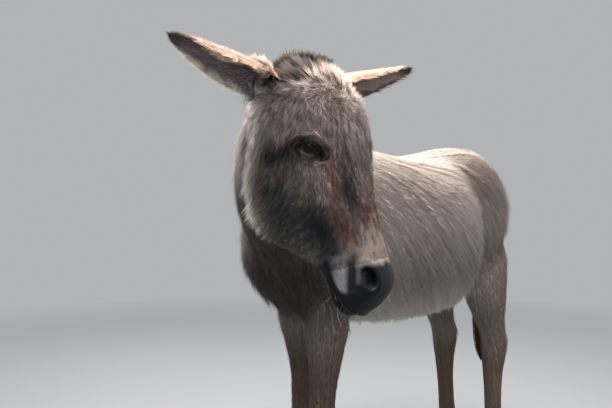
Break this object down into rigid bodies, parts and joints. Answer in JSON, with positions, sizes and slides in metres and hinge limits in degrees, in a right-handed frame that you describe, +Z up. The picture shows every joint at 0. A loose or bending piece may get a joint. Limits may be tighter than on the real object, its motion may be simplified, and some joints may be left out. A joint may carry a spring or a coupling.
{
  "type": "donkey",
  "caption": "Standing long-coated grey-brown donkey, head turned to its left and ears held out sideways, as a still life-size model.",
  "frame": {"origin": "on the floor, under the middle of the whole model's bounding box", "axes": "+Z up, -Y the way the trunk faces, +X the animal's left"},
  "size_m": [0.6826, 1.5386, 1.1599],
  "materials": {
    "coat": "long matte grey-brown hair",
    "dark_coat": "coarse dark brown hair",
    "muzzle_skin": "short velvety dark hair over skin",
    "horn": "dull horn",
    "eye": "wet gloss"
  },
  "bodies": {
    "root": {"trunk": "coat", "neck": "coat", "head": "coat", "muzzle": "muzzle_skin", "lower_lip": "muzzle_skin", "ear_left": "coat", "eye_left": "eye", "ear_right": "coat", "eye_right": "eye", "mane": "dark_coat", "forelock": "dark_coat", "tail": "coat", "tail_switch": "dark_coat", "forearm_left": "coat", "foreleg_left": "coat", "hoof_fore_left": "horn", "gaskin_left": "coat", "hindleg_left": "coat", "hoof_hind_left": "horn", "forearm_right": "coat", "foreleg_right": "coat", "hoof_fore_right": "horn", "gaskin_right": "coat", "hindleg_right": "coat", "hoof_hind_right": "horn"}
  },
  "joints": []
}
